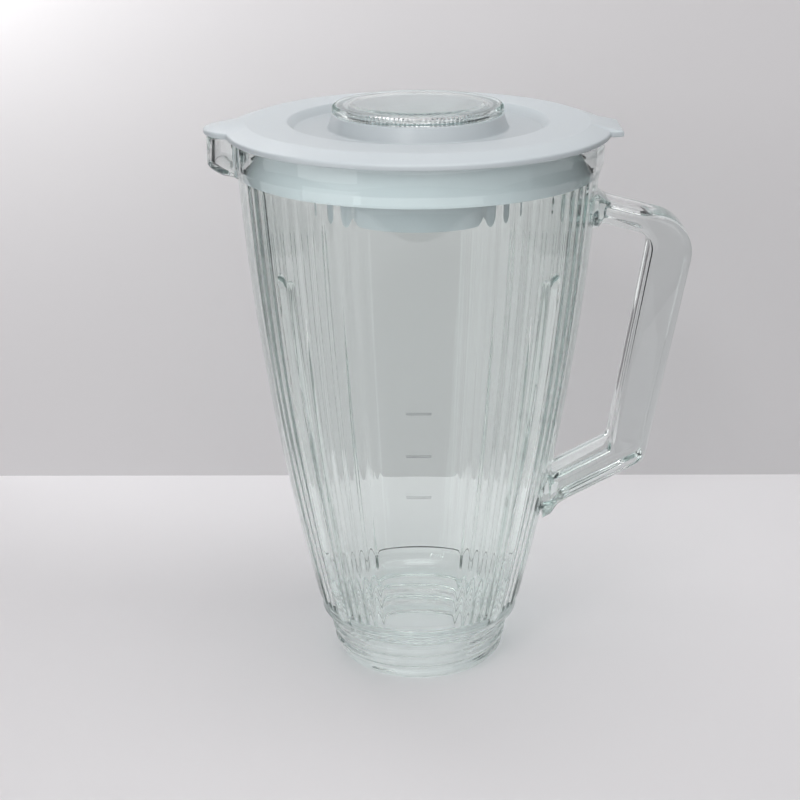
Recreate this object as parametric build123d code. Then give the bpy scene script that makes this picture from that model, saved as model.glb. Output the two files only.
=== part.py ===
"""Blender jar with a pouring spout and handle, its push-on lid and its filler cap.

Millimetres, +Z up.  The jar stands on the foot of its screw neck at z = 0 with its axis on Z.
The handle points along +X, the spout along -X, and the plain front panel faces -Y.
"""
import os
from math import cos, hypot, radians, sin, sqrt

from build123d import *

# Jar: reeded side wall
wall = 3.0
side_foot_radius = 41.2
side_top_radius = 68.3
side_height = 174.5
side_bulge = 3.8
reeds_per_quarter = 10
reed_depth = 0.55
front_panel_half_angle = 18.0
side_panel_half_angle = 22.0
front_angle = -90
section_count = 5

# Jar: screw neck, foot collar and floor
neck_height = 16.5
neck_step = 4.3
neck_taper = 3.5
neck_wall = 4.2
neck_edge_chamfer = 0.6
collar_inset = 1.4
collar_slope_height = 3.5
collar_band_height = 5.5
collar_under_chamfer = 0.9
floor_drop = 1.0
floor_fall = 7.0
dish_middle_out = 0.62
dish_middle_up = 0.35

# Jar: rim and pouring spout
rim_overhang = 1.6
rim_ledge = 0.4
rim_slope_height = 4.0
rim_band_height = 9.7
rim_wall = 4.2
rim_edge_chamfer = 1.0
spout_inset = 5.2
spout_radius = 15.0
spout_wall = 2.5
spout_drop = 5.5
spout_rise = 3.5
spout_floor = 2.6

# Jar: baffles inside the wall, turned from the middles of the front and back panels
baffle_angle = 51.0
baffle_spread = 6.0
baffle_depth = 4.5
baffle_top_drop = 31.0
baffle_top_slope = 5.0
baffle_foot_drop = 4.0

# Jar: handle, in the plane of the spout
handle_width = 22.0
handle_edge_radius = 3.2
handle_top_drop = 10.5
handle_reach = 37.8
shoulder_drop = 10.0
shoulder_radius = 15.0
handle_length = 95.5
heel_setback = 17.1
heel_drop = 22.5
heel_radius = 7.0
upper_arm_thickness = 8.5
grip_thickness = 17.0
lower_arm_thickness = 11.5
window_top_radius = 7.0
window_heel_radius = 4.0
window_heel_inset = 3.3

# Lid
lid_thickness = 2.0
lid_overhang = 2.4
flange_edge_height = 2.0
flange_edge_chamfer = 0.9
crown_margin = 7.8
crown_width = 15.5
crown_rise = 4.6
recess_slope = 2.5
recess_depth = 3.0
nose_margin = 1.0
tab_width = 26.0
tab_overhang = 3.7
tab_corner_radius = 4.0
skirt_depth = 14.2
skirt_thickness = 2.0
skirt_clearance = 0.4
tube_rise = 2.7
tube_depth = 30.9
tube_thickness = 1.8

# Filler cap
cap_cup_radius = 30.0
cap_cup_wall = 1.8
cap_cup_length = 35.0
cap_overhang = 2.2
cap_clearance = 0.3
cap_grip_width = 7.9
cap_grip_height = 3.2
cap_edge_chamfer = 0.7
cap_top_rise = 0.6
cap_top_thickness = 2.0
knurl_count = 120
knurl_depth = 0.7

# Sizes that follow from the ones above
collar_radius = side_foot_radius - collar_inset
neck_radius = collar_radius - neck_step
foot_radius = neck_radius - neck_taper
base_bore_radius = foot_radius - neck_wall
collar_bottom_height = neck_height + collar_slope_height
side_foot_height = collar_bottom_height + collar_band_height
side_top_height = side_foot_height + side_height
floor_height = side_foot_height - floor_drop
base_bore_height = floor_height - floor_fall
rim_radius = side_top_radius + rim_overhang
rim_bottom_height = side_top_height + rim_slope_height
jar_height = rim_bottom_height + rim_band_height
spout_centre = rim_radius - spout_inset
spout_root_height = rim_bottom_height - spout_drop
baffle_top_height = side_top_height - baffle_top_drop
baffle_foot_height = floor_height - baffle_foot_drop
handle_top_height = side_top_height - handle_top_drop
shoulder_height = handle_top_height - shoulder_drop
shoulder_reach = side_top_radius + handle_reach
heel_height = shoulder_height - handle_length
heel_reach = shoulder_reach - heel_setback
handle_bottom_height = heel_height - heel_drop
flange_radius = rim_radius + lid_overhang
crown_radius = flange_radius - crown_margin
crown_land_radius = crown_radius - crown_width
recess_radius = crown_land_radius - recess_slope
tab_tip = flange_radius + tab_overhang
crown_height = jar_height + crown_rise
cap_seat_height = crown_height + tube_rise
cap_radius = cap_cup_radius + cap_overhang
cap_top_radius = cap_radius - cap_grip_width


def side_arc_circle():
    """Centre and radius of the side wall's outline, an arc that bulges outwards from its chord."""
    rise = side_top_height - side_foot_height
    flare = side_top_radius - side_foot_radius
    chord = hypot(rise, flare)
    arc_radius = (chord ** 2 / 4 + side_bulge ** 2) / (2 * side_bulge)
    back = arc_radius - side_bulge
    centre_r = (side_top_radius + side_foot_radius) / 2 - back * rise / chord
    centre_z = (side_top_height + side_foot_height) / 2 + back * flare / chord
    return centre_r, centre_z, arc_radius


def side_radius(height):
    """Radius over the crests of the reeds at a height on the side wall."""
    centre_r, centre_z, arc_radius = side_arc_circle()
    return centre_r + sqrt(arc_radius ** 2 - (height - centre_z) ** 2)


def side_line(inset, low, high):
    """The side wall's outline moved inwards by inset, between two heights, in the XZ plane."""
    middle = (low + high) / 2
    points = [(side_radius(height) - inset, 0, height) for height in (low, middle, high)]
    return ThreePointArc(*points)


def plan_point(radius, angle, height):
    """A point at a radius and an angle from +X, both seen from above."""
    return (radius * cos(radians(angle)), radius * sin(radians(angle)), height)


def turned(edges):
    """A solid of revolution about Z from a closed outline in the XZ plane."""
    return revolve(make_face(Wire(edges)), axis=Axis.Z)


def outline(points):
    """The straight edges through points (radius, height) in the XZ plane, not closed."""
    return Polyline(*[(radius, 0, height) for radius, height in points]).edges()


def side_slab(points, width):
    """A prism of an outline of (x, height) points, centred on the XZ plane."""
    face = make_face(Polyline(*[(x, 0, height) for x, height in points], close=True))
    return extrude(face, amount=width / 2, dir=(0, 1, 0), both=True)


def reeded_section(height):
    """The wall's outer section: a plain panel on each of four sides with convex reeds between them."""
    crest = side_radius(height)
    valley = crest - reed_depth
    pitch = (90 - front_panel_half_angle - side_panel_half_angle) / reeds_per_quarter
    spans = []
    for quarter in range(4):
        middle = front_angle + 90 * quarter
        half = side_panel_half_angle if quarter % 2 else front_panel_half_angle
        spans.append((middle - half, middle + half))
        for number in range(reeds_per_quarter):
            start = middle + half + number * pitch
            spans.append((start, start + pitch))
    arcs = [
        ThreePointArc(
            plan_point(valley, start, height),
            plan_point(crest, (start + end) / 2, height),
            plan_point(valley, end, height),
        )
        for start, end in spans
    ]
    return make_face(Wire(arcs))


def make_side():
    """The reeded wall, lofted through sections along its bulging outline."""
    step = (side_top_height - side_foot_height) / (section_count - 1)
    heights = [side_foot_height + number * step for number in range(section_count)]
    return loft([reeded_section(height) for height in heights])


def make_neck_and_collar():
    """The tapered screw neck and the collar above it, which runs up into the reeded wall."""
    return turned(
        outline(
            [
                (0, 0),
                (foot_radius - neck_edge_chamfer, 0),
                (foot_radius, neck_edge_chamfer),
                (neck_radius, neck_height),
                (collar_radius - collar_under_chamfer, collar_bottom_height - collar_under_chamfer),
                (collar_radius, collar_bottom_height),
                (collar_radius, side_foot_height + wall),
                (0, side_foot_height + wall),
                (0, 0),
            ]
        )
    )


def make_rim():
    """The smooth band that stands proud of the reeds at the mouth."""
    return turned(
        outline(
            [
                (0, side_top_height),
                (side_top_radius + rim_ledge, side_top_height),
                (rim_radius, rim_bottom_height),
                (rim_radius, jar_height - rim_edge_chamfer),
                (rim_radius - rim_edge_chamfer, jar_height),
                (0, jar_height),
                (0, side_top_height),
            ]
        )
    )


def spout_plan(radius, bottom, top):
    """An upright round bar about the spout's centre."""
    bar = Cylinder(radius, top - bottom, align=(Align.CENTER, Align.CENTER, Align.MIN))
    return Pos(-spout_centre, 0, bottom) * bar


def spout_profile(lift, reach):
    """A slab above the spout's sloping underside, raised by lift, out to a reach beyond the tip."""
    tip = spout_centre + spout_radius
    slope = spout_rise / (tip - rim_radius)
    inner = spout_centre - spout_radius
    outer = tip + reach
    return side_slab(
        [
            (-inner, spout_root_height + lift - slope * (rim_radius - inner)),
            (-outer, spout_root_height + lift + slope * (outer - rim_radius)),
            (-outer, jar_height),
            (-inner, jar_height),
        ],
        4 * spout_radius,
    )


def make_spout():
    """The round-nosed spout outside the rim."""
    return spout_plan(spout_radius, spout_root_height / 2, jar_height) & spout_profile(0, wall)


def make_spout_trough():
    """The hollow of the spout, which runs through the rim into the jar."""
    hollow = spout_plan(spout_radius - spout_wall, spout_root_height / 2, jar_height)
    return hollow & spout_profile(spout_floor, wall)


def make_cavity():
    """The jar's inside: base bore, dished floor, bulging wall and straight mouth."""
    floor_radius = side_radius(floor_height) - wall
    mouth_radius = rim_radius - rim_wall
    side_top = side_radius(side_top_height) - wall
    dish = ThreePointArc(
        (base_bore_radius, 0, base_bore_height),
        (
            base_bore_radius + (floor_radius - base_bore_radius) * dish_middle_out,
            0,
            base_bore_height + (floor_height - base_bore_height) * dish_middle_up,
        ),
        (floor_radius, 0, floor_height),
    )
    edges = outline([(0, 0), (base_bore_radius, 0), (base_bore_radius, base_bore_height)])
    edges += [dish, side_line(wall, floor_height, side_top_height)]
    edges += outline(
        [(side_top, side_top_height), (mouth_radius, jar_height), (0, jar_height), (0, 0)]
    )
    return turned(edges)


def make_baffle(angle):
    """An upright rib inside the wall, a narrow sector between two lines that follow the wall."""
    root = wall / 2
    tip = wall + baffle_depth
    low = floor_height
    foot_tip = side_radius(low) - tip
    foot_root = side_radius(low) - root
    top_tip = baffle_top_height - baffle_top_slope
    inner = side_line(tip, low, top_tip)
    outer = side_line(root, low, baffle_top_height)
    cap_edge = Line(inner @ 1, outer @ 1)
    foot = outline([(foot_root, low), (foot_root, baffle_foot_height), (foot_tip, low)])
    face = make_face(Wire([inner, cap_edge, outer] + list(foot)))
    sector = revolve(face, axis=Axis.Z, revolution_arc=baffle_spread)
    return Rot(0, 0, angle - baffle_spread / 2) * sector


def handle_outer_points():
    """Corners of the handle's outside (x, height): root, top, shoulder, heel and lower root."""
    root = side_radius(handle_bottom_height) - wall
    return [
        (root, handle_top_height),
        (side_radius(handle_top_height), handle_top_height),
        (shoulder_reach, shoulder_height),
        (heel_reach, heel_height),
        (root, handle_bottom_height),
    ]


def handle_window_points():
    """Corners of the finger opening (x, height), each an arm's or the grip's thickness inside."""
    root, top, shoulder, heel, bottom = handle_outer_points()
    window_root = root[0] - wall
    arm_under = handle_top_height - upper_arm_thickness
    shoulder_slope = shoulder_drop / (shoulder[0] - top[0])
    window_shoulder = shoulder[0] - grip_thickness
    heel_slope = heel_drop / (heel[0] - bottom[0])
    arm_over = handle_bottom_height + lower_arm_thickness * hypot(1, heel_slope)
    window_heel = heel[0] - grip_thickness + window_heel_inset
    return [
        (window_root, arm_under),
        (top[0], arm_under),
        (window_shoulder, arm_under - shoulder_slope * (window_shoulder - top[0])),
        (window_heel, arm_over + heel_slope * (window_heel - bottom[0])),
        (window_root, arm_over - heel_slope * wall),
    ]


def rounded_face(points, radii):
    """A flat face from corners, with the corners numbered in radii rounded."""
    face = make_face(Polyline(*points, close=True))
    for number, radius in radii.items():
        corner = face.vertices().sort_by_distance((*points[number], 0))[0]
        face = fillet([corner], radius)
    return face


def make_handle():
    """The handle: an open loop with a thick grip between two thin arms, rounded along its edges."""
    loop = rounded_face(handle_outer_points(), {2: shoulder_radius, 3: heel_radius})
    window = rounded_face(handle_window_points(), {2: window_top_radius, 3: window_heel_radius})
    bar = extrude(Plane.XZ * (loop - window), amount=handle_width / 2, both=True)
    rims = bar.faces().filter_by(Axis.Y).edges()
    return fillet(rims, handle_edge_radius)


def make_jar():
    """The whole moulding: reeded wall, neck, rim, spout, handle and baffles in one piece."""
    jar = make_side() + make_neck_and_collar() + make_rim() + make_spout() + make_handle()
    jar = jar - make_cavity() - make_spout_trough()
    for direction in (front_angle, front_angle + 180):
        jar = jar + make_baffle(direction - baffle_angle) + make_baffle(direction + baffle_angle)
    return jar


def make_lid():
    """The push-on lid: crowned flange, dished top, plug skirt, filler tube, nose and lift tab."""
    seat = jar_height
    flange_top = seat + flange_edge_height
    recess_floor = crown_height - recess_depth
    skirt_bottom = seat - skirt_depth
    skirt_radius = side_radius(skirt_bottom) - wall - skirt_clearance
    tube_inner = cap_cup_radius + cap_clearance
    tube_outer = tube_inner + tube_thickness
    tube_bottom = seat - tube_depth
    lid = turned(
        outline(
            [
                (tube_inner, tube_bottom),
                (tube_outer, tube_bottom),
                (tube_outer, recess_floor - lid_thickness),
                (recess_radius + lid_thickness, recess_floor - lid_thickness),
                (crown_land_radius + lid_thickness, crown_height - lid_thickness),
                (skirt_radius - skirt_thickness, crown_height - lid_thickness),
                (skirt_radius - skirt_thickness, skirt_bottom),
                (skirt_radius, skirt_bottom),
                (skirt_radius, seat),
                (flange_radius, seat),
                (flange_radius, flange_top - flange_edge_chamfer),
                (flange_radius - flange_edge_chamfer, flange_top),
                (crown_radius, crown_height),
                (crown_land_radius, crown_height),
                (recess_radius, recess_floor),
                (tube_outer + lid_thickness, recess_floor),
                (tube_outer, cap_seat_height),
                (tube_inner, cap_seat_height),
                (tube_inner, tube_bottom),
            ]
        )
    )
    nose = spout_plan(spout_radius + nose_margin, seat, flange_top)
    nose = chamfer(nose.faces().sort_by(Axis.Z)[-1].edges(), flange_edge_chamfer)
    nose = nose - Cylinder(skirt_radius, 2 * jar_height)
    tab_length = tab_tip - skirt_radius
    tab = Box(tab_length, tab_width, flange_edge_height, align=(Align.MIN, Align.CENTER, Align.MIN))
    tab = fillet(tab.edges().filter_by(Axis.Z).group_by(Axis.X)[-1], tab_corner_radius)
    tab = Pos(skirt_radius, 0, seat) * tab
    return lid + nose + tab


def make_cap():
    """The filler cap: a knurled rim and low domed top on an open cup that drops into the lid."""
    seat = cap_seat_height
    grip_top = seat + cap_grip_height
    cap_top = grip_top + cap_top_rise
    cup_bottom = grip_top - cap_cup_length
    cup_inner = cap_cup_radius - cap_cup_wall
    corner = cap_edge_chamfer
    turned_cap = turned(
        outline(
            [
                (0, cap_top - cap_top_thickness),
                (cup_inner - cap_top_thickness, cap_top - cap_top_thickness),
                (cup_inner, grip_top - cap_top_thickness),
                (cup_inner, cup_bottom),
                (cap_cup_radius, cup_bottom),
                (cap_cup_radius, seat),
                (cap_radius - corner, seat),
                (cap_radius, seat + corner),
                (cap_radius, grip_top - corner),
                (cap_radius - corner, grip_top),
                (cap_top_radius + cap_top_rise, grip_top),
                (cap_top_radius, cap_top),
                (0, cap_top),
                (0, cap_top - cap_top_thickness),
            ]
        )
    )
    half_pitch = 180 / knurl_count
    teeth = []
    for number in range(knurl_count):
        teeth.append(plan_point(cap_radius, 2 * number * half_pitch, seat))
        teeth.append(plan_point(cap_radius - knurl_depth, (2 * number + 1) * half_pitch, seat))
    knurl = extrude(make_face(Polyline(*teeth, close=True)), amount=cap_grip_height)
    ring = Cylinder(
        cap_radius + knurl_depth, cap_grip_height, align=(Align.CENTER, Align.CENTER, Align.MIN)
    )
    return turned_cap - (Pos(0, 0, seat) * ring - knurl)


os.makedirs("parts", exist_ok=True)
export_step(make_jar(), "parts/jar.step")
export_step(make_lid(), "parts/lid.step")
export_step(make_cap(), "parts/cap.step")
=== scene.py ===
"""Blender jar with its lid and filler cap: smooth surfaces, finishes, stage, light and camera.

Lengths in the shapes are millimetres and become metres in skin().  The jar stands on z = 0 with its
axis on Z, the handle along +X, the spout along -X and the plain front panel facing -Y.
"""

import math

import bmesh
import bpy
import numpy as np
from mathutils import Euler, Matrix, Vector


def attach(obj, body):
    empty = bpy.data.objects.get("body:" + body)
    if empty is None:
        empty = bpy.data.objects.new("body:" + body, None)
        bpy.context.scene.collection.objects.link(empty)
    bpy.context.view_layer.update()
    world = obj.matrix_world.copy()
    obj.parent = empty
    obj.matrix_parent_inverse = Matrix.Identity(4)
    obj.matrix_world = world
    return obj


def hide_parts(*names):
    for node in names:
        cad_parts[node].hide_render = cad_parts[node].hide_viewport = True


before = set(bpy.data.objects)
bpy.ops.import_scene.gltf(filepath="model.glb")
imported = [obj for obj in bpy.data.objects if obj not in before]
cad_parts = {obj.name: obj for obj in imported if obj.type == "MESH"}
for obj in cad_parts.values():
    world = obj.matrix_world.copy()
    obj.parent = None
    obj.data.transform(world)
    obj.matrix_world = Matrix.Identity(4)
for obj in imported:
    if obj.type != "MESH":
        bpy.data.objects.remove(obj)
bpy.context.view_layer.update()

# Jar side wall
WALL = 3.0
FOOT_RADIUS, FOOT_HEIGHT = 41.2, 25.5
TOP_RADIUS, TOP_HEIGHT = 68.3, 200.0
SIDE_BULGE = 3.8
REED_PITCH, REED_DEPTH = 5.0, 0.4
FRONT_PANEL, SIDE_PANEL = 18.0, 22.0

# Jar neck, collar, floor
BORE_RADIUS, BORE_HEIGHT = 27.8, 17.5
NECK_FOOT_RADIUS, NECK_TOP_RADIUS, NECK_HEIGHT, NECK_CHAMFER = 32.0, 35.5, 16.5, 0.6
COLLAR_RADIUS, COLLAR_BOTTOM = 39.8, 20.0
FLOOR_HEIGHT, DISH_RADIUS, DISH_HEIGHT = 24.5, 34.1, 19.95
THREAD_PITCH, THREAD_HEIGHT, THREAD_START = 5.0, 1.3, -1.3
THREAD_FROM, THREAD_TO = 0.6, 3.1

# Jar rim and spout
RIM_RADIUS, MOUTH_RADIUS, JAR_HEIGHT = 69.9, 65.7, 213.7
RIM_BOTTOM, LEDGE_RADIUS, LEDGE_HEIGHT = 204.0, 65.4, 203.9
SPOUT_CENTRE, SPOUT_RADIUS, SPOUT_WALL = 64.7, 15.0, 2.5
SPOUT_ROOT, SPOUT_SLOPE, SPOUT_FLOOR = 198.5, 0.357, 2.6

# Jar baffles and measuring marks
BAFFLE_ANGLE, BAFFLE_DEPTH = 51.0, 4.5
BAFFLE_TOP, BAFFLE_FOOT = 169.0, 20.5
MARK_LOW, MARK_PITCH, MARK_COUNT = 87.2, 17.5, 3
MARK_HALF_LENGTH, MARK_HALF_WIDTH, MARK_RAISE = 4.6, 0.25, 0.01

# Jar handle: heights of its bar at the wall, and its outer and inner corners (x, z)
HANDLE_TOP, HANDLE_TOP_INSIDE = 189.5, 181.0
HANDLE_LOW, HANDLE_LOW_INSIDE = 62.6, 75.6
HANDLE_STRAIGHT_FROM, HANDLE_SINK = 67.4, 1.7
GRIP_TOP, GRIP_TOP_INSIDE = (106.1, 179.5), (89.1, 175.4)
GRIP_LOW, GRIP_LOW_INSIDE = (89.0, 84.0), (75.3, 89.7)
HANDLE_HALF_WIDTH, HANDLE_EDGE, HANDLE_FLARE, FLARE_REACH = 11.0, 3.2, 2.2, 3.5

# Lid and cap rest a hair above the faces that carry them; heights of the lid count from its seat
REST_GAP = 0.05
LID_SEAT = JAR_HEIGHT + REST_GAP
FLANGE_RADIUS, FLANGE_THICKNESS, NOSE_OVERHANG = 72.3, 2.0, 1.0
TAB_REACH, TAB_HALF_WIDTH = 76.0, 13.0
SKIRT_BORE, SKIRT_RADIUS, SKIRT_DEPTH = 62.8, 64.8, 14.2
TUBE_BORE, TUBE_RADIUS, TUBE_DEPTH, TUBE_TOP = 30.3, 32.1, 30.9, 7.3
CROWN_FROM, CROWN_TO, CROWN_HEIGHT = 49.0, 64.5, 4.6
RECESS_RADIUS, RECESS_HEIGHT, RECESS_FILLET, LID_WALL = 46.5, 1.6, 2.0, 2.0

CAP_SEAT = JAR_HEIGHT + TUBE_TOP + 2 * REST_GAP
GRIP_RADIUS, GRIP_HEIGHT, GRIP_CHAMFER = 32.2, 3.2, 0.8
KNURL_COUNT, KNURL_DEPTH = 120, 0.7
CUP_BORE, CUP_RADIUS, CUP_DEPTH, CUP_FILLET = 28.2, 30.0, 35.0, 2.0
CAP_TOP_RADIUS, CAP_TOP_RISE, CAP_TOP_SLOPE, CAP_TOP_UNDERSIDE = 24.3, 0.5, 0.9, 1.45


def smoothstep(low, high, value):
    """0 below low, 1 above high, and an S-shaped cubic between them."""
    share = np.clip((value - low) / (high - low), 0.0, 1.0)
    return share * share * (3 - 2 * share)


def soft_max(first, second, blend):
    """The larger of two lengths, with the crossing rounded over the blend."""
    share = np.clip(0.5 + 0.5 * (second - first) / blend, 0.0, 1.0)
    return first + (second - first) * share + blend * share * (1 - share)


def skin(name, points, wrap_rows):
    """A closed mesh over a grid of points (rows, columns, xyz); columns always join up with the first.

    Each grid cell is one four-sided face.  Rows that shrink to one point are merged into it.
    """
    rows, columns = points.shape[:2]
    index = np.arange(rows * columns).reshape(rows, columns)
    if wrap_rows:
        index = np.vstack([index, index[:1]])
    index = np.hstack([index, index[:, :1]])
    quads = np.stack([index[:-1, :-1], index[:-1, 1:], index[1:, 1:], index[1:, :-1]], axis=-1)
    mesh = bpy.data.meshes.new(name)
    mesh.from_pydata((points.reshape(-1, 3) * 0.001).tolist(), [], quads.reshape(-1, 4).tolist())
    piece = bpy.data.objects.new(name, mesh)
    bpy.context.collection.objects.link(piece)
    close_skin(mesh)
    return piece


def close_skin(mesh):
    """Merges points that coincide and turns every face outwards."""
    work = bmesh.new()
    work.from_mesh(mesh)
    bmesh.ops.remove_doubles(work, verts=work.verts, dist=1e-6)
    bmesh.ops.recalc_face_normals(work, faces=work.faces)
    work.to_mesh(mesh)
    work.free()


def shade_edges(mesh, degrees):
    """Smooth shading, broken along edges sharper than the angle."""
    mesh.shade_smooth()
    mesh.set_sharp_from_angle(angle=math.radians(degrees))


def rounded_rows(corners, closed):
    """Rows (count, columns, 2) of a profile from its corners (radius, height, rounding).

    A corner with a rounding becomes a circular arc between its two straight runs: the quadratic
    rational curve whose middle weight is the sine of half the angle between the runs.
    """
    columns = max(np.size(value) for corner in corners for value in corner[:2])
    ring = np.stack(
        [np.stack([np.broadcast_to(r, columns), np.broadcast_to(z, columns)], axis=-1) for r, z, _ in corners]
    ).astype(float)
    rows = []
    for number, (_, _, rounding) in enumerate(corners):
        here = ring[number]
        ends = not closed and number in (0, len(corners) - 1)
        if rounding == 0 or ends:
            rows.append(here[None])
            continue
        back = ring[number - 1] - here
        on = ring[(number + 1) % len(corners)] - here
        back_length = np.linalg.norm(back, axis=-1, keepdims=True)
        on_length = np.linalg.norm(on, axis=-1, keepdims=True)
        cosine = np.sum(back * on, axis=-1, keepdims=True) / (back_length * on_length)
        reach = rounding * np.sqrt((1 + cosine + 1e-6) / (1 - cosine))
        reach = np.clip(reach, 0.01, 0.45 * np.minimum(back_length, on_length))
        weight = np.sqrt((1 - cosine) / 2)
        share = np.linspace(0, 1, 5)[:, None, None]
        first, middle, last = (1 - share) ** 2, 2 * weight * share * (1 - share), share**2
        start, end = here + back / back_length * reach, here + on / on_length * reach
        rows.append((first * start + middle * here + last * end) / (first + middle + last))
    return np.concatenate(rows)


def turned(rows, angles):
    """Points of profile rows (radius, height) swung to their columns' angles about Z."""
    radius, height = rows[..., 0], rows[..., 1]
    return np.stack([radius * np.cos(angles), radius * np.sin(angles), height], axis=-1)


def side_radius(height):
    """Radius of the side wall over the reeds' crests: an arc through foot and top that bulges out."""
    rise, flare = TOP_HEIGHT - FOOT_HEIGHT, TOP_RADIUS - FOOT_RADIUS
    chord = math.hypot(rise, flare)
    arc = (chord**2 / 4 + SIDE_BULGE**2) / (2 * SIDE_BULGE)
    centre_r = (TOP_RADIUS + FOOT_RADIUS) / 2 - (arc - SIDE_BULGE) * rise / chord
    centre_z = (TOP_HEIGHT + FOOT_HEIGHT) / 2 + (arc - SIDE_BULGE) * flare / chord
    return centre_r + np.sqrt(arc**2 - (height - centre_z) ** 2)


def jar_angles():
    """Column angles round the jar in radians: eight to a reed, about one a degree over the panels."""
    front = np.linspace(-FRONT_PANEL, FRONT_PANEL, 32, endpoint=False)
    reeds = np.arange(0, 90 - FRONT_PANEL - SIDE_PANEL - 1e-6, REED_PITCH / 8)
    side = np.linspace(90 - SIDE_PANEL, 90 + SIDE_PANEL, 32, endpoint=False)
    half = np.concatenate([front, FRONT_PANEL + reeds, side, 90 + SIDE_PANEL + reeds])
    return np.radians(np.concatenate([half - 90, half + 90]))


def panel_turn(angles):
    """Degrees away from the middle of the nearer front or back panel, 0 to 90."""
    return np.abs(np.mod(np.degrees(angles), 180) - 90)


def reed_share(angles):
    """Share of the reed depth to take off: a cosine wave over each reed or panel, 1 in the valleys."""
    turn = panel_turn(angles)
    in_reed = 2 * np.mod((turn - FRONT_PANEL) / REED_PITCH + 1e-9, 1.0) - 1
    share = np.where(turn < FRONT_PANEL - 1e-6, turn / FRONT_PANEL, in_reed)
    share = np.where(turn > 90 - SIDE_PANEL + 1e-6, (90 - turn) / SIDE_PANEL, share)
    return (1 - np.cos(math.pi * share)) / 2


def nose_radius(angles, radius, nose, blend):
    """Polar outline of a circle about the axis joined with the spout's circle at -X, kink rounded."""
    off = np.angle(np.exp(1j * (angles - math.pi)))
    under = nose**2 - (SPOUT_CENTRE * np.sin(off)) ** 2
    reach = SPOUT_CENTRE * np.cos(off) + np.sqrt(np.maximum(under, 0))
    reach = np.where((under > 0) & (np.abs(off) < 1), reach, radius - 2 * blend)
    return soft_max(radius, reach, blend)


def thread_raise(angles, height):
    """Height of the screw thread above the neck: a rounded ridge along a helix that fades at its ends."""
    turn = np.mod(angles, 2 * math.pi) / (2 * math.pi)
    rise = (height - THREAD_START) / THREAD_PITCH - turn
    whole = np.round(rise)
    aside = np.abs(rise - whole) * THREAD_PITCH
    along = whole + turn
    ends = smoothstep(THREAD_FROM, THREAD_FROM + 0.08, along)
    ends = ends * (1 - smoothstep(THREAD_TO - 0.08, THREAD_TO, along))
    return THREAD_HEIGHT * ends * (1 - smoothstep(0.3, 2.3, aside))


def mark_raise(angles, height, radius):
    """Height of the three measuring marks: short bars across the middle of the front panel."""
    aside = radius * np.angle(np.exp(1j * (angles + math.pi / 2)))
    across = 1 - smoothstep(MARK_HALF_LENGTH - 0.3, MARK_HALF_LENGTH + 0.3, np.abs(aside))
    nearest = np.clip(np.round((height - MARK_LOW) / MARK_PITCH), 0, MARK_COUNT - 1)
    off = np.abs(height - MARK_LOW - nearest * MARK_PITCH)
    return MARK_RAISE * across * (1 - smoothstep(0.4 * MARK_HALF_WIDTH, MARK_HALF_WIDTH, off))


def baffle_raise(angles, height, radius):
    """How far the four baffles stand in from the wall: a round-topped rib, sloped off at both ends."""
    aside = radius * np.radians(np.abs(panel_turn(angles) - BAFFLE_ANGLE))
    rib = 1 - smoothstep(1.1, 3.3, aside)
    ends = smoothstep(BAFFLE_TOP, BAFFLE_TOP - 5, height) * np.clip((height - BAFFLE_FOOT) / 4, 0, 1)
    return BAFFLE_DEPTH * rib * ends


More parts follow.
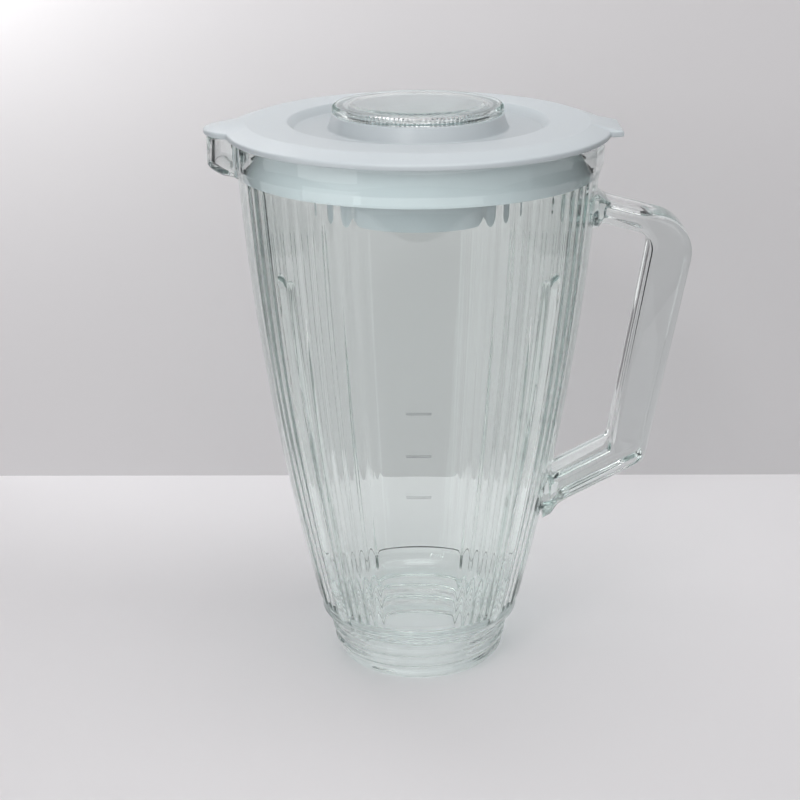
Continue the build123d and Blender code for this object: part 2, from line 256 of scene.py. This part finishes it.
def jar_shell():
    """The jar without its handle: one closed profile carried once round the axis."""
    angles = jar_angles()
    reeds = REED_DEPTH * reed_share(angles)
    lip = nose_radius(angles, RIM_RADIUS, SPOUT_RADIUS, 2.5)
    mouth = nose_radius(angles, MOUTH_RADIUS, SPOUT_RADIUS - SPOUT_WALL, 2.5)
    out = lip - RIM_RADIUS
    nosed, trough = smoothstep(0, 3, out), smoothstep(0, 3, mouth - MOUTH_RADIUS)

    trough_floor = SPOUT_ROOT + SPOUT_FLOOR + SPOUT_SLOPE * (mouth - RIM_RADIUS)
    corners = [
        (BORE_RADIUS, 0.0, 0.5),
        (NECK_FOOT_RADIUS - NECK_CHAMFER, 0.0, 0.3),
        (NECK_FOOT_RADIUS, NECK_CHAMFER, 0.3),
    ]
    for height in np.linspace(NECK_CHAMFER + 0.5, NECK_HEIGHT - 0.7, 36):
        share = height / NECK_HEIGHT
        radius = NECK_FOOT_RADIUS + (NECK_TOP_RADIUS - NECK_FOOT_RADIUS) * share
        corners.append((radius + thread_raise(angles, height), height, 0))
    corners += [
        (NECK_TOP_RADIUS, NECK_HEIGHT, 0.6),
        (COLLAR_RADIUS, COLLAR_BOTTOM, 1.0),
        (COLLAR_RADIUS, FOOT_HEIGHT, 0.3),
        (side_radius(FOOT_HEIGHT) - reeds, FOOT_HEIGHT, 0.4),
    ]
    mark_rows = MARK_HALF_WIDTH * np.array([-1, -0.4, 0.4, 1])
    marks = MARK_LOW + MARK_PITCH * np.arange(MARK_COUNT)[:, None] + mark_rows
    heights = np.linspace(FOOT_HEIGHT + 0.8, SPOUT_ROOT - 1, 28)
    heights = np.sort(np.concatenate([heights, marks.ravel()]))
    for height in heights:
        radius = side_radius(height)
        corners.append((radius - reeds + mark_raise(angles, height, radius), height, 0))
    corners += [
        (TOP_RADIUS - reeds, TOP_HEIGHT - 1.7 * nosed, 0.3),
        (TOP_RADIUS + 0.4, TOP_HEIGHT - 1.6 * nosed, 0.2),
        (RIM_RADIUS - 0.3, RIM_BOTTOM - 0.6 - (RIM_BOTTOM - SPOUT_ROOT - 1.1) * nosed, 0.6),
        (lip, RIM_BOTTOM + (SPOUT_ROOT + SPOUT_SLOPE * out - RIM_BOTTOM) * nosed, 1.0),
        (lip, JAR_HEIGHT, 0.9),
        (mouth, JAR_HEIGHT, 0.9),
        (
            LEDGE_RADIUS + (mouth - LEDGE_RADIUS) * trough,
            LEDGE_HEIGHT + (trough_floor - LEDGE_HEIGHT) * trough,
            1.2,
        ),
        (TOP_RADIUS - WALL + 0.05, TOP_HEIGHT + 0.8 - 1.5 * trough, 1.0),
    ]
    heights = [np.linspace(198, 170, 8), np.linspace(169, 163, 9), np.linspace(160, FLOOR_HEIGHT, 18)]
    heights = np.concatenate(heights)
    for height in heights:
        radius = side_radius(height) - WALL
        rounding = 1.5 if height == FLOOR_HEIGHT else 0
        corners.append((radius - baffle_raise(angles, height, radius), height, rounding))
    floor_radius = side_radius(FLOOR_HEIGHT) - WALL
    bow_radius = DISH_RADIUS - (floor_radius + BORE_RADIUS) / 2
    bow_height = DISH_HEIGHT - (FLOOR_HEIGHT + BORE_HEIGHT) / 2
    for share in np.linspace(0.28, 0.92, 8):
        bow = 4 * share * (1 - share)
        radius = floor_radius + (BORE_RADIUS - floor_radius) * share + bow_radius * bow
        height = FLOOR_HEIGHT + (BORE_HEIGHT - FLOOR_HEIGHT) * share + bow_height * bow
        corners.append((radius - baffle_raise(angles, height, radius), height, 0))
    corners.append((BORE_RADIUS, BORE_HEIGHT, 0.8))
    for height in np.linspace(BORE_HEIGHT - 2, 2, 6):
        corners.append((BORE_RADIUS, height, 0))
    return skin("jar", turned(rounded_rows(corners, True), angles), True)


def handle_bar():
    """The handle: a rounded bar carried along two rails, the outside and the finger opening's edge.

    Each row is a rounded rectangle as thick as the rails are apart, flared where it meets the wall.
    """
    top_root, low_root = (side_radius(height) - HANDLE_SINK for height in (185.0, 69.0))
    top, low = (HANDLE_TOP, HANDLE_TOP_INSIDE), (HANDLE_LOW, HANDLE_LOW_INSIDE)
    rails = [
        ((top_root, top_root), top, 0),
        ((HANDLE_STRAIGHT_FROM, HANDLE_STRAIGHT_FROM), top, 0),
        (*zip(GRIP_TOP, GRIP_TOP_INSIDE), (15.0, 7.0)),
        (*zip(GRIP_LOW, GRIP_LOW_INSIDE), (7.0, 4.0)),
        ((low_root, low_root), low, 0),
    ]
    path = rail_rows(rails)
    recess_painted_shade, inner = path[:, 0], path[:, 1]
    middle, half = (recess_painted_shade + inner) / 2, (recess_painted_shade - inner) / 2
    half_thick = np.linalg.norm(half, axis=-1, keepdims=True)
    across = half / half_thick
    quarter = np.radians(np.linspace(0, 90, 6))
    turn = np.concatenate([quarter + number * math.pi / 2 for number in range(4)])
    thick_sign = np.repeat([1, -1, -1, 1], 6)
    wide_sign = np.repeat([1, 1, -1, -1], 6)
    wall_gap = middle[:, :1] - side_radius(middle[:, 1:])
    flare = HANDLE_FLARE * (1 - smoothstep(0, FLARE_REACH, wall_gap))
    thick = thick_sign * (half_thick + flare - HANDLE_EDGE) + HANDLE_EDGE * np.cos(turn)
    wide = wide_sign * (HANDLE_HALF_WIDTH + flare - HANDLE_EDGE) + HANDLE_EDGE * np.sin(turn)
    x = middle[:, :1] + across[:, :1] * thick
    z = middle[:, 1:] + across[:, 1:] * thick
    points = np.stack([x, np.broadcast_to(wide, x.shape), z], axis=-1)
    ends = [np.broadcast_to(points[row].mean(axis=0), points[row].shape)[None] for row in (0, -1)]
    return skin("handle", np.concatenate([ends[0], points, ends[1]]), False)


def rail_rows(rails):
    """Both rails as matching rows of points (count, 2 rails, xz), straight runs cut into short steps."""
    pairs = []
    for number, (x, z, rounding) in enumerate(rails):
        here = np.stack([np.array(x, float), np.array(z, float)], axis=-1)
        if number:
            before = pairs[-1][0]
            for share in np.linspace(0, 1, 14)[1:-1]:
                pairs.append((before + (here - before) * share, 0))
        pairs.append((here, rounding))
    return round_rails(pairs)


def round_rails(pairs):
    """Rails with their corners rounded: points nearer a corner than its cut slide onto the arc."""
    points = np.array([pair[0] for pair in pairs])
    corners = [number for number, pair in enumerate(pairs) if np.any(pair[1])]
    for corner in corners:
        for rail in (0, 1):
            radius = pairs[corner][1][rail]
            here = points[corner, rail].copy()
            back = points[corner - 1, rail] - here
            on = points[corner + 1, rail] - here
            back, on = back / np.linalg.norm(back), on / np.linalg.norm(on)
            cosine = float(np.dot(back, on))
            cut = radius * math.sqrt((1 + cosine) / (1 - cosine))
            weight = math.sqrt((1 - cosine) / 2)
            share = np.linspace(0, 1, 9)[:, None]
            first, middle, last = (1 - share) ** 2, 2 * weight * share * (1 - share), share**2
            arc = (first * (here + back * cut) + middle * here + last * (here + on * cut)) / (
                first + middle + last
            )
            points[corner - 4 : corner + 5, rail] = arc
    return points


def lid_skin():
    """The lid: crowned flange, dished top, skirt, filler tube, nose over the spout and lift tab."""
    angles = np.radians(np.arange(0, 360, 0.75))
    edge = nose_radius(angles, FLANGE_RADIUS, SPOUT_RADIUS + NOSE_OVERHANG, 2.5)
    off = np.abs(np.angle(np.exp(1j * angles))) + 1e-6
    near = np.minimum(off, 1.2)
    tab = -soft_max(-TAB_REACH / np.cos(near), -TAB_HALF_WIDTH / np.sin(near), 4.0)
    edge = soft_max(edge, np.where(off < 0.6, tab, 0), 0.8)
    seat = LID_SEAT
    corners = [
        (TUBE_BORE, seat - TUBE_DEPTH, 0.5),
        (TUBE_RADIUS, seat - TUBE_DEPTH, 0.5),
        (TUBE_RADIUS, seat + RECESS_HEIGHT - LID_WALL, 1.0),
        (RECESS_RADIUS + LID_WALL, seat + RECESS_HEIGHT - LID_WALL, 1.0),
        (CROWN_FROM + LID_WALL, seat + CROWN_HEIGHT - LID_WALL, 1.0),
        (SKIRT_BORE, seat + CROWN_HEIGHT - LID_WALL, 1.0),
        (SKIRT_BORE, seat - SKIRT_DEPTH, 0.6),
        (SKIRT_RADIUS, seat - SKIRT_DEPTH, 0.6),
        (SKIRT_RADIUS, seat, 0.4),
        (edge, seat, 0.5),
        (edge, seat + FLANGE_THICKNESS, 0.9),
        (CROWN_TO, seat + CROWN_HEIGHT, 3.0),
        (CROWN_FROM, seat + CROWN_HEIGHT, 1.2),
        (RECESS_RADIUS, seat + RECESS_HEIGHT, 1.0),
        (TUBE_RADIUS + RECESS_FILLET, seat + RECESS_HEIGHT, 1.0),
        (TUBE_RADIUS, seat + TUBE_TOP, 0.6),
        (TUBE_BORE, seat + TUBE_TOP, 0.5),
    ]
    return skin("lid", turned(rounded_rows(corners, True), angles), True)


def cap_skin():
    """The filler cap: knurled grip, low raised top and an open cup that drops into the lid's tube."""
    angles = np.radians(np.arange(0, 360, 360 / KNURL_COUNT / 4))
    tooth = np.abs(2 * np.mod(np.degrees(angles) * KNURL_COUNT / 360, 1.0) - 1)
    grip = GRIP_RADIUS - KNURL_DEPTH * (1 - tooth)
    seat = CAP_SEAT
    top = seat + GRIP_HEIGHT
    inside = top - CAP_TOP_UNDERSIDE
    corners = [
        (0.0, inside, 0),
        (CUP_BORE - CUP_FILLET, inside, 0.6),
        (CUP_BORE, inside - 0.75, 0.6),
        (CUP_BORE, top - CUP_DEPTH, 0.5),
        (CUP_RADIUS, top - CUP_DEPTH, 0.5),
        (CUP_RADIUS, seat, 0.5),
        (grip - 0.5, seat, 0.3),
        (grip, seat + 0.5, 0.3),
        (grip, top - GRIP_CHAMFER, 0.5),
        (grip - GRIP_CHAMFER, top, 0.4),
        (CAP_TOP_RADIUS + CAP_TOP_SLOPE, top, 0.6),
        (CAP_TOP_RADIUS, top + CAP_TOP_RISE, 0.6),
        (0.0, top + CAP_TOP_RISE, 0),
    ]
    return skin("cap", turned(rounded_rows(corners, False), angles), False)


def fused(body, addition, name):
    """One mesh from two closed pieces that overlap; the second piece is used up."""
    join = body.modifiers.new("join", "BOOLEAN")
    join.operation, join.solver, join.object = "UNION", "EXACT", addition
    mesh = bpy.data.meshes.new_from_object(body.evaluated_get(bpy.context.evaluated_depsgraph_get()))
    for spent in (body, addition):
        bpy.data.objects.remove(spent, do_unlink=True)
    piece = bpy.data.objects.new(name, mesh)
    bpy.context.collection.objects.link(piece)
    return piece


class Shade:
    """A value inside a material: arithmetic on it adds math nodes, and node() adds any other node."""

    def __init__(self, tree, socket):
        self.tree, self.socket = tree, socket

    def node(self, kind, inputs, output=0, **settings):
        """A new node of this kind with values or Shades on its inputs; returns one of its outputs."""
        made = self.tree.nodes.new(kind)
        for name, value in settings.items():
            setattr(made, name, value)
        for name, value in inputs.items():
            if isinstance(value, Shade):
                self.tree.links.new(value.socket, made.inputs[name])
            else:
                made.inputs[name].default_value = value
        return Shade(self.tree, made.outputs[output])

    def sum(self, operation, first, second):
        """One math node."""
        return self.node("ShaderNodeMath", {0: first, 1: second}, operation=operation)

    def __add__(self, other):
        return self.sum("ADD", self, other)

    def __radd__(self, other):
        return self.sum("ADD", other, self)

    def __sub__(self, other):
        return self.sum("SUBTRACT", self, other)

    def __rsub__(self, other):
        return self.sum("SUBTRACT", other, self)

    def __mul__(self, other):
        return self.sum("MULTIPLY", self, other)

    def __rmul__(self, other):
        return self.sum("MULTIPLY", other, self)

    def __truediv__(self, other):
        return self.sum("DIVIDE", self, other)

    def __rtruediv__(self, other):
        return self.sum("DIVIDE", other, self)


def new_finish(name):
    """An empty material and the Shade that its nodes start from, at object coordinates."""
    finish = bpy.data.materials.new(name)
    finish.use_nodes = True
    tree = finish.node_tree
    tree.nodes.clear()
    place = tree.nodes.new("ShaderNodeTexCoord")
    return finish, Shade(tree, place.outputs["Object"])


def end_finish(finish, surface, inside=None):
    """Joins a surface shader, and what fills the body if it is given, to the material's output."""
    out = finish.node_tree.nodes.new("ShaderNodeOutputMaterial")
    finish.node_tree.links.new(surface.socket, out.inputs["Surface"])
    if inside:
        finish.node_tree.links.new(inside.socket, out.inputs["Volume"])
    return finish


def axis_distance(place):
    """Distance from the jar's axis, from the object coordinates."""
    across = place.node("ShaderNodeVectorMath", {0: place, 1: (1, 1, 0)}, operation="MULTIPLY")
    return place.node("ShaderNodeVectorMath", {0: across}, "Value", operation="LENGTH")


def mark_share(place):
    """1 on the measuring marks of the front panel and 0 elsewhere, from the object coordinates."""
    x, y, z = (place.node("ShaderNodeSeparateXYZ", {0: place}, axis) for axis in "XYZ")
    height = 1000 * z - (MARK_LOW - MARK_PITCH / 2)
    off = place.sum("ABSOLUTE", place.sum("MODULO", height, MARK_PITCH) - MARK_PITCH / 2, 0)
    bar = place.sum("LESS_THAN", off, MARK_HALF_WIDTH)
    bar = bar * place.sum("LESS_THAN", place.sum("ABSOLUTE", x, 0), MARK_HALF_LENGTH / 1000)
    bar = bar * place.sum("GREATER_THAN", height, 0) * place.sum("LESS_THAN", height, MARK_COUNT * MARK_PITCH)
    return bar * place.sum("LESS_THAN", y, 0)


def clear_finish(name, tint, haze, marked):
    """Clear polished plastic, green in the wall and neutral out at the handle, marks darker.

    Long ways through it take up light, so edges darken.  Lamps shine through, so its shadow stays light.
    """
    finish, place = new_finish(name)
    cloud = place.node("ShaderNodeTexNoise", {"Vector": place, "Scale": 90.0, "Detail": 3.0})
    outside = place.node("ShaderNodeMapRange", {0: axis_distance(place), 1: 0.066, 2: 0.076})
    colour = place.node(
        "ShaderNodeMix", {0: outside, 6: tint, 7: (0.95, 0.955, 0.955, 1)}, 2, data_type="RGBA"
    )
    if marked:
        colour = place.node(
            "ShaderNodeMix", {0: mark_share(place), 6: colour, 7: (0.5, 0.52, 0.52, 1)}, 2, data_type="RGBA"
        )
    plastic = place.node(
        "ShaderNodeBsdfPrincipled",
        {
            "Base Color": colour,
            "Roughness": haze * (0.4 + 1.2 * cloud),
            "IOR": 1.5,
            "Transmission Weight": 1.0,
        },
    )
    pass_through = place.node("ShaderNodeBsdfTransparent", {"Color": (0.80, 0.82, 0.82, 1)})
    shadow = place.node("ShaderNodeLightPath", {}, "Is Shadow Ray")
    surface = place.node("ShaderNodeMixShader", {0: shadow, 1: plastic, 2: pass_through})
    depth = place.node("ShaderNodeVolumeAbsorption", {"Color": (0.80, 0.86, 0.85, 1), "Density": 22.0})
    return end_finish(finish, surface, depth)


def lid_finish():
    """Pale blue-white moulded plastic, half gloss, with a faint cloudiness and a fine moulded grain.

    Painted light and shade: below the seat the colour is raised a fifth on the skirt and tube, as painted
    light standing in for light through the thin plastic, and towards the dished middle it is lowered as
    painted shade.
    """
    finish, place = new_finish("pale lid plastic")
    cloud = place.node("ShaderNodeTexNoise", {"Vector": place, "Scale": 35.0, "Detail": 4.0})
    grain = place.node("ShaderNodeTexNoise", {"Vector": place, "Scale": 900.0, "Detail": 2.0})
    colour = place.node(
        "ShaderNodeMix",
        {0: cloud, 6: (0.53, 0.585, 0.61, 1), 7: (0.57, 0.62, 0.645, 1)},
        2,
        data_type="RGBA",
    )
    height = place.node("ShaderNodeSeparateXYZ", {0: place}, "Z")
    # painted shade: inside the crown the dished middle is painted darker
    recess_painted_shade = place.node(
        "ShaderNodeMapRange", {0: axis_distance(place), 1: 0.046, 2: 0.05, 3: 0.84, 4: 1.0}
    )
    # painted light: below the seat the skirt and tube are painted lighter; above it the painted shade of the
    # middle holds
    painted_light_and_shade = place.node("ShaderNodeMapRange", {0: height, 1: 0.2132, 2: 0.2142, 3: 1.2, 4: recess_painted_shade})
    colour = place.node("ShaderNodeVectorMath", {0: colour, "Scale": painted_light_and_shade}, operation="SCALE")
    bump = place.node("ShaderNodeBump", {"Strength": 0.08, "Distance": 0.0002, "Height": grain})
    plastic = place.node(
        "ShaderNodeBsdfPrincipled",
        {"Base Color": colour, "Roughness": 0.28 + 0.12 * cloud, "IOR": 1.49, "Normal": bump},
    )
    return end_finish(finish, plastic)


def stage_finish(name, colour, foot_shade, see_through_back):
    """Plain matt paint with painted shade, darker towards z = 0; a see-through back lets the jar show from
    behind.
    """
    finish, place = new_finish(name)
    cloud = place.node("ShaderNodeTexNoise", {"Vector": place, "Scale": 6.0, "Detail": 2.0})
    darker = tuple(0.97 * value for value in colour)
    paint = place.node(
        "ShaderNodeMix", {0: cloud, 6: (*colour, 1), 7: (*darker, 1)}, 2, data_type="RGBA"
    )
    height = place.node("ShaderNodeSeparateXYZ", {0: place}, "Z")
    # painted shade: the paint darkens towards z = 0 by the foot share, for less light low on the wall
    share = place.node("ShaderNodeMapRange", {0: height, 1: 0.0, 2: 0.2, 3: foot_shade, 4: 1.0})
    paint = place.node("ShaderNodeVectorMath", {0: paint, "Scale": share}, operation="SCALE")
    matt = place.node("ShaderNodeBsdfPrincipled", {"Base Color": paint, "Roughness": 0.7})
    if see_through_back:
        back = place.node("ShaderNodeNewGeometry", {}, "Backfacing")
        hole = place.node("ShaderNodeBsdfTransparent", {})
        matt = place.node("ShaderNodeMixShader", {0: back, 1: matt, 2: hole})
    return end_finish(finish, matt)


def add_sheet(name, corners, finish):
    """A flat four-cornered sheet of the stage, in metres."""
    mesh = bpy.data.meshes.new(name)
    mesh.from_pydata(corners, [], [(0, 1, 2, 3)])
    mesh.materials.append(finish)
    sheet = bpy.data.objects.new(name, mesh)
    bpy.context.collection.objects.link(sheet)
    return sheet


def add_piece(piece, node, finish, crease):
    """Gives a finished surface its finish and its place in the frame, and hides the solid it stands for."""
    piece.data.materials.clear()
    piece.data.materials.append(finish)
    shade_edges(piece.data, crease)
    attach(piece, "root")
    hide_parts(node)


def add_light(name, place, aim, width, height, power, colour):
    """A rectangular soft light at a place, in metres, facing an aim."""
    data = bpy.data.lights.new(name, "AREA")
    data.shape, data.size, data.size_y = "RECTANGLE", width, height
    data.energy, data.color = power, colour
    light = bpy.data.objects.new(name, data)
    bpy.context.collection.objects.link(light)
    light.location = place
    light.rotation_euler = (Vector(aim) - Vector(place)).to_track_quat("-Z", "Y").to_euler()
    return light


def set_world(colour, strength):
    """Even grey light from all round."""
    world = bpy.data.worlds.new("room")
    world.use_nodes = True
    world.node_tree.nodes["Background"].inputs["Color"].default_value = (*colour, 1)
    world.node_tree.nodes["Background"].inputs["Strength"].default_value = strength
    bpy.context.scene.world = world


jar = fused(jar_shell(), handle_bar(), "jar")
lid = lid_skin()
cap = cap_skin()
add_piece(jar, "jar", clear_finish("clear jar plastic", (0.968, 1.0, 0.987, 1), 0.015, True), 30)
add_piece(lid, "lid", lid_finish(), 40)
add_piece(cap, "cap", clear_finish("clear cap plastic", (0.96, 0.985, 0.98, 1), 0.02, False), 30)

wall_y, table_z = 0.185, -0.0002
table_front, table_side, wall_side, wall_top = -0.5, 0.5, 0.24, 0.6
add_sheet(
    "table",
    [
        (-table_side, table_front, table_z),
        (table_side, table_front, table_z),
        (table_side, wall_y, table_z),
        (-table_side, wall_y, table_z),
    ],
    stage_finish("table paint", (0.74, 0.732, 0.745), 1.0, False),
)
add_sheet(
    "wall",
    [
        (-wall_side, wall_y, table_z),
        (wall_side, wall_y, table_z),
        (wall_side, wall_y, wall_top),
        (-wall_side, wall_y, wall_top),
    ],
    stage_finish("wall paint", (0.665, 0.655, 0.665), 0.84, True),
)
set_world((0.94, 0.97, 1.0), 0.04)
add_light("lamp", (-0.3, 0.1, 0.4), (-0.27, 0.2, 0.4), 0.12, 0.12, 1.2, (1, 1, 1))
add_light("ceiling", (0.2, -0.3, 1.5), (0.2, -0.3, 0), 1.4, 1.1, 14.6, (1, 0.985, 0.99))
add_light("front window", (0.0, -1.3, 0.62), (0.0, 0.0, 0.15), 2.4, 1.0, 11.0, (1, 0.985, 0.99))
add_light("left window", (-1.0, -0.7, 0.35), (0.0, 0.0, 0.2), 0.9, 0.7, 3.0, (1, 0.985, 0.99))
add_light("glint", (-0.25, -0.75, 0.85), (0.0, 0.0, 0.15), 0.12, 0.12, 1.2, (1, 1, 1))

scene = bpy.context.scene
focal_pixels, picture_pixels = 1723, 800
look_down, look_aside, roll = (math.radians(angle) for angle in (19.52, 0.66, -0.355))
camera_data = bpy.data.cameras.new("camera")
camera_data.sensor_width = 36.0
camera_data.lens = camera_data.sensor_width * focal_pixels / picture_pixels
camera = bpy.data.objects.new("camera", camera_data)
bpy.context.collection.objects.link(camera)
camera.location = (0, -0.644, 0.335)
aim = Euler((math.pi / 2 - look_down, 0, look_aside)).to_matrix()
camera.rotation_euler = (aim @ Matrix.Rotation(roll, 3, "Z")).to_euler()
scene.camera = camera

scene.view_settings.view_transform = "Standard"
scene.cycles.max_bounces = 32
scene.cycles.transmission_bounces = 32
scene.cycles.transparent_max_bounces = 32
scene.cycles.glossy_bounces = 32
